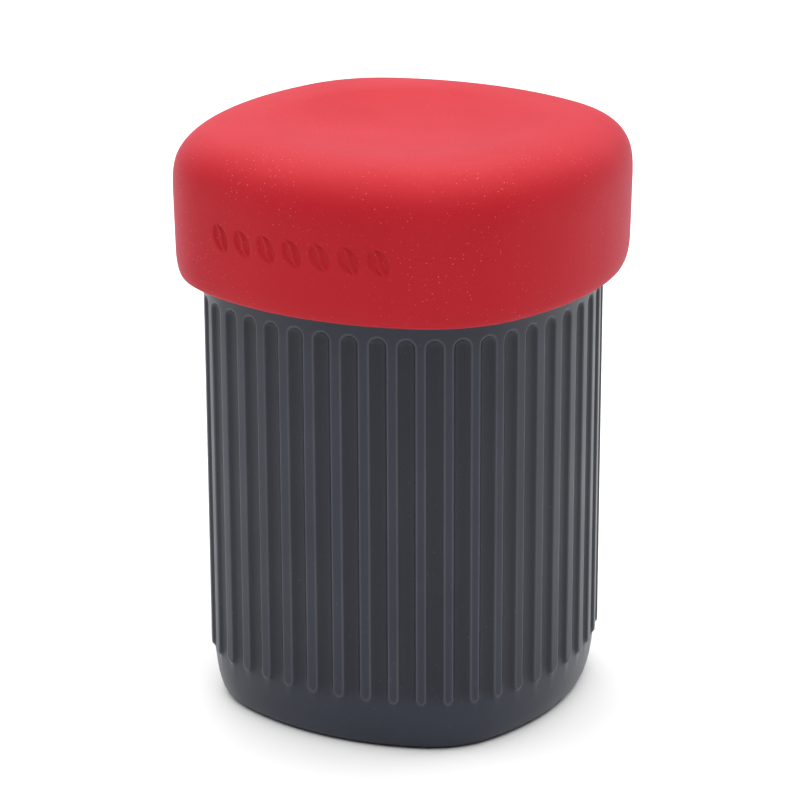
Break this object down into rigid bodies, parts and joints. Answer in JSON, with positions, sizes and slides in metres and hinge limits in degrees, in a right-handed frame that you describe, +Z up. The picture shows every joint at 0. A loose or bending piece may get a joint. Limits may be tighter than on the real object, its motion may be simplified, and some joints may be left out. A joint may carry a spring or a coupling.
{
  "type": "travel coffee press",
  "caption": "Travel coffee press packed inside its own fluted rounded-square drinking mug, closed by a domed silicone lid with a shallow dish.",
  "frame": {"origin": "centre of the mug's base, on the surface it stands on", "axes": "+Z up along the mug; the flats of the rounded-square plan face +X, -X, +Y and -Y; the lid's marked side faces -Y"},
  "size_m": [0.1008, 0.1008, 0.138],
  "materials": {
    "mug_plastic": "matte, very fine texture",
    "lid_silicone": "matte silicone",
    "smoke_plastic": "smoke-tinted, translucent",
    "black_plastic": "satin",
    "seal_rubber": "matte",
    "filter_paper": "matte, fibrous",
    "pin_steel": "satin",
    "case_plastic": "satin"
  },
  "bodies": {
    "mug": {"mug": "mug_plastic"},
    "brew_chamber": {"brew_chamber": "smoke_plastic"},
    "filter_cap": {"filter_cap": "black_plastic", "filter_paper": "filter_paper"},
    "plunger": {"plunger": "smoke_plastic", "plunger_seal": "seal_rubber"},
    "scoop": {"scoop": "black_plastic"},
    "stirrer": {"stirrer_handle": "black_plastic", "stirrer_pin": "pin_steel"},
    "stirrer_paddle": {"stirrer_paddle": "black_plastic"},
    "filter_case": {"filter_case": "case_plastic", "spare_filters": "filter_paper"},
    "filter_case_lid": {"filter_case_lid": "case_plastic"},
    "lid": {"lid": "lid_silicone"}
  },
  "joints": [
    {"name": "press_lift", "type": "slide", "parent": "mug", "child": "brew_chamber", "axis": [0, 0, 1], "range_m": [0, 0.11]},
    {"name": "cap_twist", "type": "hinge", "parent": "brew_chamber", "child": "filter_cap", "pos_m": [0, 0, 0.016], "axis": [0, 0, 1], "range_deg": [0, 30]},
    {"name": "plunger_slide", "type": "slide", "parent": "brew_chamber", "child": "plunger", "axis": [0, 0, 1], "range_m": [0, 0.106]},
    {"name": "scoop_lift", "type": "slide", "parent": "plunger", "child": "scoop", "axis": [0, 0, 1], "range_m": [0, 0.097]},
    {"name": "stirrer_lift", "type": "slide", "parent": "scoop", "child": "stirrer", "axis": [0, 0, 1], "range_m": [0, 0.09]},
    {"name": "stirrer_fold", "type": "hinge", "parent": "stirrer", "child": "stirrer_paddle", "pos_m": [0, 0, 0.109], "axis": [0, -1, 0], "range_deg": [0, 8]},
    {"name": "case_lift", "type": "slide", "parent": "stirrer", "child": "filter_case", "axis": [0, 0, 1], "range_m": [0, 0.02]},
    {"name": "case_lid_lift", "type": "slide", "parent": "filter_case", "child": "filter_case_lid", "axis": [0, 0, 1], "range_m": [0, 0.015]},
    {"name": "lid_lift", "type": "slide", "parent": "filter_case_lid", "child": "lid", "axis": [0, 0, 1], "range_m": [0, 0.04]}
  ]
}
